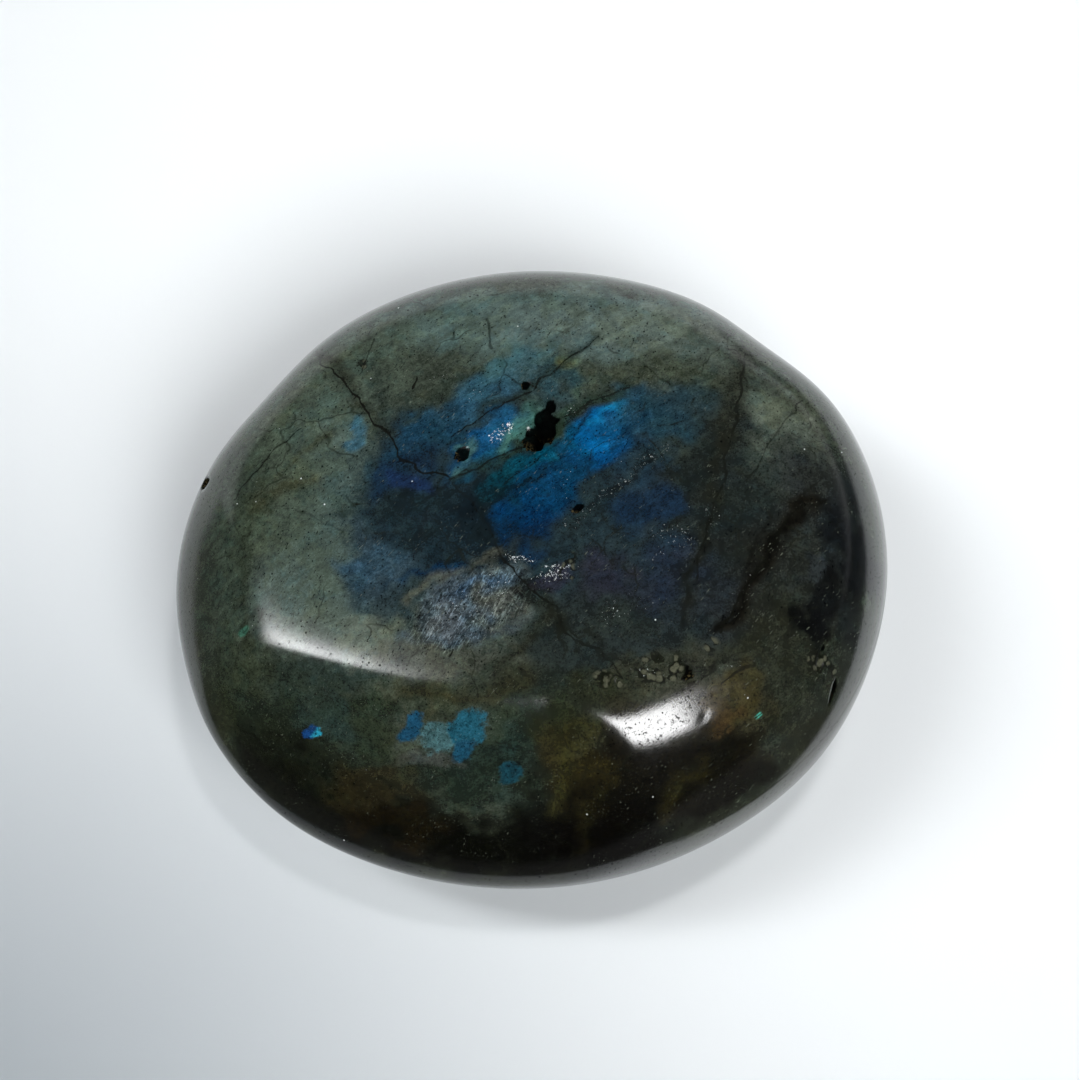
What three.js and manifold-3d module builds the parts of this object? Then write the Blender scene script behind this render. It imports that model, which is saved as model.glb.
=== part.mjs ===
// A tumbled labradorite: one polished pebble of dark feldspar, about 50 by 45 by 20 mm.
// Millimetres, +Z up. It rests on a small flat foot, and the origin is under its middle.
// The long way of its outline lies near X, and the sharp front crest faces -Y.
import * as THREE from "three";
import { mergeVertices } from "three/addons/utils/BufferGeometryUtils.js";
import Module from "manifold-3d";

const wasm = await Module();
wasm.setup();

// Driving dimensions.
const LONG = 25.2; // half the outline's length
const SHORT = 22.6; // half its width
const TURN = 12; // degrees from X to the long axis
const UP = 14.0; // height of the whole upper dome, before its top was worn flat
const DOWN = 10.2; // depth of the whole lower dome
const FULL = 2.25; // fullness of the flank: 2 is an ellipse, 3 a soft box
const FOOT = 9.4; // depth at which the lower dome is worn to a flat foot
const CELLS = 26; // grid cells along each of the six sides of the mesh

// Swellings and hollows of the outline: azimuth and width in degrees, share of the radius.
const SWELLINGS = [
  [325, 16, 0.012],
  [28, 12, 0.003],
  [44, 11, -0.026],
  [147, 14, -0.03],
  [180, 14, 0.01],
  [216, 16, 0.024],
  [265, 30, -0.01],
];

// Faces that wear has left, each a gentle dome. Azimuth and elevation of the way it faces, its
// distance from the middle, the radius of its dome, how crisp its edge is, and the azimuths
// between which it holds.
const FACES = {
  top: { azimuth: 125, elevation: 84, distance: 10.2, dome: 140, crisp: 11 },
  left: { azimuth: 180, elevation: 50, distance: 18.9, dome: 120, crisp: 36 },
  frontLeft: { azimuth: 250, elevation: 50, distance: 16.45, dome: 90, crisp: 46 },
  front: { azimuth: 266, elevation: 52, distance: 15.85, dome: 90, crisp: 40, from: 180, to: 274 },
  frontRight: { azimuth: 300, elevation: 50, distance: 19.0, dome: 90, crisp: 20, from: 250, to: 335 },
  underLeft: { azimuth: 205, elevation: -52, distance: 17.2, dome: 200, crisp: 30 },
  underBack: { azimuth: 75, elevation: -50, distance: 16.2, dome: 200, crisp: 30 },
};
const FADE = 24; // degrees over which a face lets go past its azimuths
const LET_GO = 0.08; // share of its distance that it then gives up

// Broad shallow dents and one swelling: azimuth, elevation and width in degrees, share.
const DENTS = [
  [70, 18, 22, -0.01],
  [20, 25, 16, -0.006],
  [150, -25, 18, -0.012],
  [320, -38, 20, -0.01],
  [230, 8, 18, 0.006],
];

// Pits that polishing never reached. The upper ones stand at x and y, the others at an azimuth
// and elevation; then half length, half width, depth, and the turn of the length from X.
const PITS = [
  { x: 0.9, y: 7.3, long: 1.9, wide: 0.8, deep: 0.8, turn: 77 },
  { x: 0.35, y: 6.3, long: 0.9, wide: 0.75, deep: 0.6, turn: 60 },
  { x: -0.5, y: 10.6, long: 0.35, wide: 0.35, deep: 0.35, turn: 0 },
  { x: -4.8, y: 5.3, long: 0.5, wide: 0.45, deep: 0.25, turn: 20 },
  { x: 3.2, y: 1.1, long: 0.4, wide: 0.28, deep: 0.35, turn: 70 },
  { x: 9.0, y: -9.6, long: 0.7, wide: 0.4, deep: 0.22, turn: 15 },
  { x: 10.2, y: -10.4, long: 0.5, wide: 0.35, deep: 0.22, turn: 120 },
  { x: 5.0, y: -11.1, long: 0.55, wide: 0.35, deep: 0.2, turn: 100 },
  { x: 11.3, y: -13.2, long: 0.6, wide: 0.3, deep: 0.22, turn: 40 },
  { x: 19.4, y: -8.6, long: 1.0, wide: 0.22, deep: 0.2, turn: 62 },
  { x: 20.4, y: -10.2, long: 0.8, wide: 0.2, deep: 0.18, turn: 55 },
  { azimuth: 172, elevation: 12, long: 0.7, wide: 0.4, deep: 0.3, turn: 80 },
  { azimuth: 62, elevation: 8, long: 0.9, wide: 0.4, deep: 0.35, turn: 20 },
  { azimuth: 118, elevation: -20, long: 0.6, wide: 0.5, deep: 0.35, turn: 0 },
  { azimuth: 250, elevation: -50, long: 0.8, wide: 0.5, deep: 0.35, turn: 40 },
];

const radians = THREE.MathUtils.degToRad;

// The way that an azimuth from X and an elevation above the level point, both in degrees.
function facing(azimuth, elevation) {
  const a = radians(azimuth);
  const e = radians(elevation);
  return new THREE.Vector3(Math.cos(a) * Math.cos(e), Math.sin(a) * Math.cos(e), Math.sin(e));
}

// A bell of height 1 that falls away over a width.
const bell = (gap, width) => Math.exp(-((gap / width) ** 2));

// The shorter way between two azimuths, in degrees.
const between = (a, b) => Math.abs(THREE.MathUtils.euclideanModulo(a - b + 180, 360) - 180);

// Radius of the outline at its widest level: an ellipse with its swellings.
function outline(azimuth) {
  const t = radians(azimuth - TURN);
  let radius = (LONG * SHORT) / Math.hypot(SHORT * Math.cos(t), LONG * Math.sin(t));
  for (const [middle, width, share] of SWELLINGS) {
    radius *= 1 + share * bell(between(azimuth, middle), width);
  }
  return radius;
}

// How much of a worn face a point has reached: 1 on the face, less inside it.
function reached(face, point, azimuth) {
  const normal = facing(face.azimuth, face.elevation);
  const height = point.dot(normal);
  if (height <= 0) return 0;
  const sideways = point.lengthSq() - height ** 2;
  let share = Math.sqrt((height / face.distance) ** 2 + sideways / (face.dome * face.distance));
  if (face.from !== undefined) {
    const past = THREE.MathUtils.smoothstep(azimuth, face.to, face.to + FADE);
    const before = 1 - THREE.MathUtils.smoothstep(azimuth, face.from - FADE, face.from);
    share *= 1 - LET_GO * (past + before);
  }
  return share;
}

// The size of the pebble, grown about its middle, that a point would lie on: 1 is the real one.
// The dome is a superellipse from the outline up and down, and each face is joined to it by a
// power sum, which rounds the edge between them.
function measure(point) {
  const azimuth = THREE.MathUtils.euclideanModulo(
    THREE.MathUtils.radToDeg(Math.atan2(point.y, point.x)),
    360,
  );
  const across = Math.hypot(point.x, point.y) / outline(azimuth);
  const along = Math.abs(point.z) / (point.z > 0 ? UP : DOWN);
  let size = (across ** FULL + along ** FULL) ** (1 / FULL);
  for (const face of Object.values(FACES)) {
    const share = reached(face, point, azimuth);
    size = (size ** face.crisp + share ** face.crisp) ** (1 / face.crisp);
  }
  for (const [a, e, width, share] of DENTS) {
    const gap = THREE.MathUtils.radToDeg(point.angleTo(facing(a, e)));
    size /= 1 + share * bell(gap, width);
  }
  return size;
}

// The point of the surface that lies in a direction from the middle.
const surface = (direction) => direction.clone().divideScalar(measure(direction));

// The point of the upper surface over x and y, found by halving the height.
function surfaceOver(x, y) {
  let low = 0;
  let high = UP;
  for (let step = 0; step < 40; step += 1) {
    const middle = (low + high) / 2;
    if (measure(new THREE.Vector3(x, y, middle)) < 1) low = middle;
    else high = middle;
  }
  return new THREE.Vector3(x, y, low);
}

// A closed mesh as a solid that can be cut.
function solid(geometry) {
  const bare = geometry.clone();
  bare.deleteAttribute("normal");
  bare.deleteAttribute("uv");
  const merged = mergeVertices(bare, 1e-5);
  return new wasm.Manifold(
    new wasm.Mesh({
      numProp: 3,
      vertProperties: new Float32Array(merged.attributes.position.array),
      triVerts: new Uint32Array(merged.index.array),
    }),
  );
}

// The solid back as a three.js geometry.
function geometryOf(cut) {
  const mesh = cut.getMesh();
  const geometry = new THREE.BufferGeometry();
  geometry.setAttribute("position", new THREE.BufferAttribute(new Float32Array(mesh.vertProperties), 3));
  geometry.setIndex(new THREE.BufferAttribute(new Uint32Array(mesh.triVerts), 1));
  return geometry;
}

// The whole pebble: a box's grid of directions, evenly turned, each carried out to the surface.
function pebble() {
  const box = new THREE.BoxGeometry(2, 2, 2, CELLS, CELLS, CELLS);
  const position = box.attributes.position;
  const spread = (value) => Math.tan((value * Math.PI) / 4);
  for (let i = 0; i < position.count; i += 1) {
    const direction = new THREE.Vector3().fromBufferAttribute(position, i);
    direction.set(spread(direction.x), spread(direction.y), spread(direction.z)).normalize();
    direction.multiply(new THREE.Vector3(LONG, SHORT, (UP + DOWN) / 2));
    position.setXYZ(i, ...surface(direction));
  }
  return solid(box);
}

// What wear has taken off below the foot.
function belowFoot() {
  const slab = new THREE.BoxGeometry(4 * LONG, 4 * LONG, DOWN);
  slab.translate(0, 0, -FOOT - DOWN / 2);
  return solid(slab);
}

// One pit: an egg with its middle on the surface, lying along it.
function pitCutter(pit) {
  const onTop = pit.x !== undefined;
  const place = onTop ? surfaceOver(pit.x, pit.y) : surface(facing(pit.azimuth, pit.elevation));
  const nudge = 0.2;
  const tangentX = new THREE.Vector3();
  const tangentY = new THREE.Vector3();
  const side = onTop ? new THREE.Vector3(1, 0, 0) : facing(pit.azimuth + 90, 0);
  const rise = onTop ? new THREE.Vector3(0, 1, 0) : new THREE.Vector3(0, 0, 1);
  tangentX.subVectors(surface(place.clone().addScaledVector(side, nudge)), place).normalize();
  tangentY.subVectors(surface(place.clone().addScaledVector(rise, nudge)), place).normalize();
  const out = new THREE.Vector3().crossVectors(tangentX, tangentY).normalize();
  tangentY.crossVectors(out, tangentX);
  const egg = new THREE.IcosahedronGeometry(1, 1);
  egg.scale(pit.long, pit.wide, pit.deep);
  egg.rotateZ(radians(pit.turn));
  egg.applyMatrix4(new THREE.Matrix4().makeBasis(tangentX, tangentY, out).setPosition(place));
  return solid(egg);
}

let body = pebble().subtract(belowFoot());
for (const pit of PITS) {
  body = body.subtract(pitCutter(pit));
}

const geometry = geometryOf(body);
geometry.computeBoundingBox();
const { min, max } = geometry.boundingBox;
geometry.translate(-(min.x + max.x) / 2, -(min.y + max.y) / 2, -min.z);
geometry.computeVertexNormals();

const polishedFeldspar = new THREE.MeshStandardMaterial({
  color: 0x2f3b38,
  roughness: 0.15,
  metalness: 0,
});

const stone = new THREE.Mesh(geometry, polishedFeldspar);
stone.name = "stone";

const labradorite = new THREE.Group();
labradorite.name = "labradorite";
labradorite.add(stone);

export default labradorite;
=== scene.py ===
# %% [markdown]
# # A tumbled labradorite
# The object is one natural pebble: dark grey-green feldspar, broken from a rock and tumbled with
# grit and then polish until it shines. It is a flattened dome, worn nearly flat on top, with one
# sharp crest along its front. Inside it lie cracks, brown stains, plates that glitter, and the
# blue flash that labradorite is known for. This lesson builds its surface as one formula, paints
# its markings as attributes of the mesh, and lets one material read them.

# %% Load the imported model
import math
import bpy
import numpy as np
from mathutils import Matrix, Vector


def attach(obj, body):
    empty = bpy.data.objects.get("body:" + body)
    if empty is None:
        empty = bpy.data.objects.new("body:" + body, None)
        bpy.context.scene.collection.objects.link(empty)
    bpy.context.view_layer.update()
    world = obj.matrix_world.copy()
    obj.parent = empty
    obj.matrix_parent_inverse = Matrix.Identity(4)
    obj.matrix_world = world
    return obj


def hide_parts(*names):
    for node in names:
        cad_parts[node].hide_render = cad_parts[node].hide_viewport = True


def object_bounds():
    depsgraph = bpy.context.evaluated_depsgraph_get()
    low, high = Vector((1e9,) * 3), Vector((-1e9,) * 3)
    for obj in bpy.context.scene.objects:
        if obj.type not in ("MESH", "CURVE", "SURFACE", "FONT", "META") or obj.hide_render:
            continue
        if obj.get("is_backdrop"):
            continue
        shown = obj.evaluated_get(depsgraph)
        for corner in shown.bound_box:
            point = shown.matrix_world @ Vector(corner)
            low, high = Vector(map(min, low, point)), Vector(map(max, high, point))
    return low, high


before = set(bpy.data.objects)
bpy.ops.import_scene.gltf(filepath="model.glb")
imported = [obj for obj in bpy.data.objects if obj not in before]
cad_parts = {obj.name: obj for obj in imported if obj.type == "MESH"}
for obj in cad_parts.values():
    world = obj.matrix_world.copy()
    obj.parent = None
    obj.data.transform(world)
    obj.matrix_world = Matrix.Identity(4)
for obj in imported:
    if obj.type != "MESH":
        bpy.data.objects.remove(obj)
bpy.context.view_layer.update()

MM = 0.001

# %% [markdown]
# ## The shape
# The stone is a superellipse dome with faces that wear has left: an almost flat top, a left face,
# two front faces and a softer shoulder at the right. It could be sculpted by hand, but a formula
# gives the same stone at any fineness, so the solid and this surface agree. For a point, the
# formula says how large a copy of the stone would pass through it. A direction divided by that
# size is a point of the surface.

# %% Sizes of the stone
LONG, SHORT = 25.2, 22.6  # half the outline's length and width, mm
TURN = 12.0  # degrees from X to the long axis
UP, DOWN = 14.0, 10.2  # heights of the whole upper and lower dome, mm
FULL = 2.25  # fullness of the flank: 2 is an ellipse
FOOT = 9.4  # depth of the flat foot, mm
# Swellings of the outline: azimuth and width in degrees, share of the radius.
SWELLINGS = [
    (325, 16, 0.012), (28, 12, 0.003), (44, 11, -0.026), (147, 14, -0.030),
    (180, 14, 0.010), (216, 16, 0.024), (265, 30, -0.010),
]
# Worn faces: azimuth, elevation, distance, dome radius, crispness, azimuths where it holds.
FACES = {
    "top": (125, 84, 10.2, 140, 11, None),
    "left": (180, 50, 18.9, 120, 36, None),
    "front left": (250, 50, 16.45, 90, 46, None),
    "front": (266, 52, 15.85, 90, 40, (180, 274)),
    "front right": (300, 50, 19.0, 90, 20, (250, 335)),
    "under left": (205, -52, 17.2, 200, 30, None),
    "under back": (75, -50, 16.2, 200, 30, None),
}
FADE, LET_GO = 24, 0.08  # degrees over which a face lets go, and what it gives up
FOOT_CRISP = 70  # crispness of the foot's edge
# Broad dents: azimuth, elevation, width in degrees, share.
DENTS = [
    (70, 18, 22, -0.010), (20, 25, 16, -0.006), (150, -25, 18, -0.012),
    (320, -38, 20, -0.010), (230, 8, 18, 0.006),
]
print("stone of", 2 * LONG, "by", 2 * SHORT, "mm before its swellings")


# %% The formula
def facing(azimuth, elevation):
    """The unit vector at an azimuth from X and an elevation above the level, in degrees."""
    a, e = math.radians(azimuth), math.radians(elevation)
    return np.array([math.cos(a) * math.cos(e), math.sin(a) * math.cos(e), math.sin(e)])


def smooth(t):
    """0 below 0, 1 above 1, and an S-curve between: 3t^2 - 2t^3."""
    t = np.clip(t, 0, 1)
    return t * t * (3 - 2 * t)


def bell(gap, width):
    """A hill of height 1 that falls as exp(-(gap/width)^2)."""
    return np.exp(-((gap / width) ** 2))


def outline(azimuth):
    """Radius at the widest level: an ellipse, turned, times its swellings."""
    t = np.radians(azimuth - TURN)
    radius = LONG * SHORT / np.hypot(SHORT * np.cos(t), LONG * np.sin(t))
    for middle, width, share in SWELLINGS:
        gap = (azimuth - middle + 180) % 360 - 180
        radius = radius * (1 + share * bell(gap, width))
    return radius


def reached(points, azimuth, face):
    """Share of a face's distance that points have reached: the root of height over distance
    squared, plus sideways squared over distance times dome radius."""
    a, e, distance, dome, _, holds = face
    height = np.maximum(0, points @ facing(a, e))
    sideways = (points * points).sum(1) - height**2
    share = np.sqrt((height / distance) ** 2 + sideways / (dome * distance)) * (height > 0)
    if holds:
        off = smooth((azimuth - holds[1]) / FADE) + smooth((holds[0] - azimuth) / FADE)
        share = share * (1 - LET_GO * off)
    return share


def measure(points):
    """Size of the stone's copy through each point: the superellipse of share of outline and
    share of height, joined to each face by a power sum, then divided by 1 plus its dents."""
    azimuth = np.degrees(np.arctan2(points[:, 1], points[:, 0])) % 360
    across = np.hypot(points[:, 0], points[:, 1]) / outline(azimuth)
    along = np.abs(points[:, 2]) / np.where(points[:, 2] > 0, UP, DOWN)
    size = (across**FULL + along**FULL) ** (1 / FULL)
    for face in FACES.values():
        crisp = face[4]
        size = (size**crisp + reached(points, azimuth, face) ** crisp) ** (1 / crisp)
    ways = points / np.linalg.norm(points, axis=1)[:, None]
    for a, e, width, share in DENTS:
        gap = np.degrees(np.arccos(np.clip(ways @ facing(a, e), -1, 1)))
        size = size / (1 + share * bell(gap, width))
    foot = np.maximum(0, -points[:, 2]) / FOOT
    return (size**FOOT_CRISP + foot**FOOT_CRISP) ** (1 / FOOT_CRISP)


# %% [markdown]
# ## The grid
# A globe's grid crowds at its poles. A cube's six sides, blown up to a ball, have no poles and
# nearly even cells, so a cube's grid of directions carries this surface. Around the big pit the
# grid is drawn together, because its walls are steep.

# %% A cube's grid of directions
CELLS = 128  # cells along a side, which makes 196,608 triangles


def cube_grid(cells):
    """Unit directions and quads of a cube's six sides; a side's lines are even in angle."""
    s = np.tan(np.linspace(-math.pi / 4, math.pi / 4, cells + 1))
    u, v = np.meshgrid(s, s, indexing="ij")
    one = np.ones_like(u)
    sides = [(u, v, one), (v, u, -one), (one, u, v), (-one, v, u), (v, one, u), (u, -one, v)]
    points = np.concatenate([np.stack(side, -1).reshape(-1, 3) for side in sides])
    points /= np.linalg.norm(points, axis=1)[:, None]
    i, j = np.meshgrid(np.arange(cells), np.arange(cells), indexing="ij")
    row = cells + 1
    corner = (i * row + j).ravel()
    quad = np.stack([corner, corner + row, corner + row + 1, corner + 1], -1)
    quads = np.concatenate([quad + k * row * row for k in range(6)])
    _, first, back = np.unique(np.round(points, 6), axis=0, return_index=True, return_inverse=True)
    return points[first], back.ravel()[quads]


ways, quads = cube_grid(CELLS)
ways = ways * np.array([LONG, SHORT, (UP + DOWN) / 2])
points = ways / measure(ways)[:, None]
print("grid of", len(points), "points and", len(quads), "cells")

# %% Draw the grid together round the big pit
PIT_AT = (0.9, 7.5)  # x and y of the big pit, mm
GATHER, GATHER_WIDTH = 0.45, 4.5  # share of the way, mm


def height_over(x, y):
    """Height of the upper surface over x and y, found by halving."""
    low, high = np.zeros(np.shape(x)), np.full(np.shape(x), UP)
    for _ in range(40):
        middle = (low + high) / 2
        inside = measure(np.stack([x, y, middle], -1).reshape(-1, 3)).reshape(np.shape(x)) < 1
        low, high = np.where(inside, middle, low), np.where(inside, high, middle)
    return low


pit_top = np.array([*PIT_AT, height_over(*[np.array(v) for v in PIT_AT])])
away = points - pit_top
points = points - GATHER * bell(np.linalg.norm(away, axis=1), GATHER_WIDTH)[:, None] * away
points = points / measure(points)[:, None]
low, high = points.min(0), points.max(0)
SHIFT = np.array([-(low[0] + high[0]) / 2, -(low[1] + high[1]) / 2, -low[2]])
print("middle of the stone moves by", SHIFT.round(2), "mm so that it stands on its foot")


# %% [markdown]
# ## Random but smooth fields
# Markings in rock have wandering borders. A sum of plane waves in random directions is a smooth
# random field that is cheap to work out at every point, and a fixed seed gives it again each time.

# %% A drifting field
def drift(places, size, seed, waves=24):
    """A field of about -1 to 1: the sum of plane waves near `size` mm long, over the root of
    half their number."""
    rng = np.random.default_rng(seed)
    turned = rng.normal(size=(waves, 3))
    turned /= np.linalg.norm(turned, axis=1)[:, None]
    lengths = size * rng.uniform(0.7, 1.5, waves)
    starts = rng.uniform(0, 2 * math.pi, waves)
    phases = places @ (turned * 2 * math.pi / lengths[:, None]).T + starts
    return np.sin(phases).sum(1) / math.sqrt(waves / 2)


# %% [markdown]
# ## Pits
# Tumbling can't reach into a soft inclusion, so it leaves a pit with rough walls, and the material
# paints black shade inside the deeper ones. Each pit is pressed into the surface along its normal,
# as deep as an egg would cut.

# %% Press the pits
# x, y, half length, half width, depth in mm, turn of the length in degrees.
TOP_PITS = [
    (0.9, 7.3, 1.9, 0.8, 0.8, 77), (0.35, 6.3, 0.9, 0.75, 0.6, 60), (-0.5, 10.6, 0.35, 0.35, 0.35, 0),
    (-4.8, 5.3, 0.5, 0.45, 0.25, 20), (3.2, 1.1, 0.4, 0.28, 0.35, 70), (9.0, -9.6, 0.7, 0.4, 0.22, 15),
    (10.2, -10.4, 0.5, 0.35, 0.22, 120), (5.0, -11.1, 0.55, 0.35, 0.2, 100),
    (11.3, -13.2, 0.6, 0.3, 0.02, 40), (19.4, -8.6, 1.0, 0.22, 0.2, 62),
    (20.4, -10.2, 0.8, 0.2, 0.18, 55),
]
# Azimuth, elevation, half length, half width, depth, turn.
SIDE_PITS = [
    (166, 7, 0.6, 0.35, 0.3, 80), (62, 8, 0.9, 0.4, 0.35, 20),
    (118, -20, 0.6, 0.5, 0.35, 0), (250, -50, 0.8, 0.5, 0.35, 40),
]


NEARBY = 0.2  # mm from a pit's middle to the two points that show how the surface lies there


def pit_frames():
    """For each pit its place, the two ways along the surface, the way out, and its sizes."""
    frames = []
    for pit in TOP_PITS:
        place = np.array([pit[0], pit[1], height_over(np.array(pit[0]), np.array(pit[1]))])
        frames.append((place, np.array([1.0, 0, 0]), np.array([0, 1.0, 0]), pit[2:]))
    for pit in SIDE_PITS:
        place = facing(pit[0], pit[1])
        place = place / measure(place[None])[0]
        frames.append((place, facing(pit[0] + 90, 0), np.array([0, 0, 1.0]), pit[2:]))
    framed = []
    for place, side, rise, sizes in frames:
        near = np.stack([place + NEARBY * side, place + NEARBY * rise])
        near = near / measure(near)[:, None] - place
        first = near[0] / np.linalg.norm(near[0])
        out = np.cross(first, near[1])
        out /= np.linalg.norm(out)
        framed.append((place, first, np.cross(out, first), out, sizes))
    return framed


POLISHED_DEPTH = 0.1  # a dent shallower than this, in mm, is polished inside and gets no painted shade
RAGGED, RAGS = 0.18, 0.8  # share by which a pit's edge wanders, and over how many mm
# In a pit's own half sizes: farther than any pit, where closeness fades, and where it ends.
FAR_OFF, FADE_FROM, FADE_OVER, PIT_END = 9.0, 1.8, 1.2, 3.2
pits = pit_frames()
offsets = np.full((len(points), 3), FAR_OFF)  # along, across and closeness to the nearest pit
nearest = np.full(len(points), FAR_OFF)
pressed = points.copy()
inside = np.zeros(len(points))  # share of its pit's depth that a point is pressed, kept only in pits deep enough for painted shade
for place, first, second, out, (half_long, half_wide, depth, turn) in pits:
    t = math.radians(turn)
    gap = points - place
    along = (gap @ (math.cos(t) * first + math.sin(t) * second)) / half_long
    across = (gap @ (math.cos(t) * second - math.sin(t) * first)) / half_wide
    reach = np.sqrt(along**2 + across**2 + (gap @ out / 2) ** 2)
    edge = reach + RAGGED * drift(points, RAGS, 5)
    share = np.sqrt(np.clip(1 - edge**2, 0, 1))
    pressed -= (depth * share)[:, None] * out
    if depth < POLISHED_DEPTH:
        continue
    inside = np.maximum(inside, share)
    closer = reach < nearest
    nearest = np.where(closer, reach, nearest)
    offsets[closer] = np.stack([along, across, np.zeros_like(along)], -1)[closer]
offsets[:, 2] = 1 - smooth((nearest - FADE_FROM) / FADE_OVER)
offsets[nearest > PIT_END] = 0
print(len(pits), "pits pressed, the deepest", max(pit[4][2] for pit in pits), "mm")


# %% [markdown]
# ## Painting the body
# Under the polish the feldspar is grey-green and milky at the left and the top, nearly black in
# the middle, with rusty stains. Along the front it is nearly black too: partly its own dark, partly
# painted shade of a slope that faces away from the light. Few soft spots of colour, laid over each
# other like washes of ink, give these broad tones. Their borders wander, because each point is first
# moved a little by a drifting field. The result is stored as a colour attribute.
#
# Most places, and some sizes, in the lists below were picked by hand on the photograph and turned
# into mm by a separate script. The other values were written one by one. Many colours lie near tones
# that separate scripts worked out from the photograph, and a few are taken from them.

# %% Colours and spots
def linear(colour):
    """An sRGB hex colour as linear numbers."""
    shares = np.array([int(colour[i : i + 2], 16) for i in (1, 3, 5)]) / 255
    return np.where(shares <= 0.04045, shares / 12.92, ((shares + 0.055) / 1.055) ** 2.4)


def spot(x, y, at, soft):
    """How far inside a soft ellipse each place is: 1 in it, 0 out, S-curve of width `soft`.
    `at` is x, y, half length, half width in mm and turn in degrees."""
    cx, cy, half_long, half_wide, turn = at
    t = math.radians(turn)
    along = ((x - cx) * math.cos(t) + (y - cy) * math.sin(t)) / half_long
    across = ((y - cy) * math.cos(t) - (x - cx) * math.sin(t)) / half_wide
    return smooth((1 + soft / 2 - np.hypot(along, across)) / soft)


def line_offset(x, y, path):
    """The vector from the nearest point of a path to each place, x and y in two columns."""
    best = np.full(len(x), 1e9)
    found = np.zeros((len(x), 2))
    for (ax, ay), (bx, by) in zip(path[:-1], path[1:]):
        run = np.array([bx - ax, by - ay])
        t = np.clip(((x - ax) * run[0] + (y - ay) * run[1]) / (run @ run), 0, 1)
        gap = np.stack([x - ax - t * run[0], y - ay - t * run[1]], -1)
        far = np.hypot(gap[:, 0], gap[:, 1])
        found[far < best] = gap[far < best]
        best = np.minimum(best, far)
    return found


seat = points + SHIFT  # places in the object's own frame, mm


def wandering(moves, seeds):
    """x and y of every place, each moved by two drifting fields. A move is an amount and a size
    in mm, and there is one seed for each move of each coordinate."""
    (far, long), (near, short) = moves
    return [
        seat[:, axis] + far * drift(seat, long, first) + near * drift(seat, short, second)
        for axis, (first, second) in enumerate(seeds)
    ]


X, Y = wandering(((0.40, 4.0), (0.25, 1.5)), ((11, 12), (13, 14)))
WAVY_X, WAVY_Y = wandering(((0.22, 2.4), (0.08, 0.9)), ((19, 20), (31, 32)))
FINE_X, FINE_Y = wandering(((0.10, 1.6), (0.04, 0.7)), ((15, 16), (17, 18)))
print("places moved by up to", round(float(np.abs(X - seat[:, 0]).max()), 2), "mm")

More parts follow.
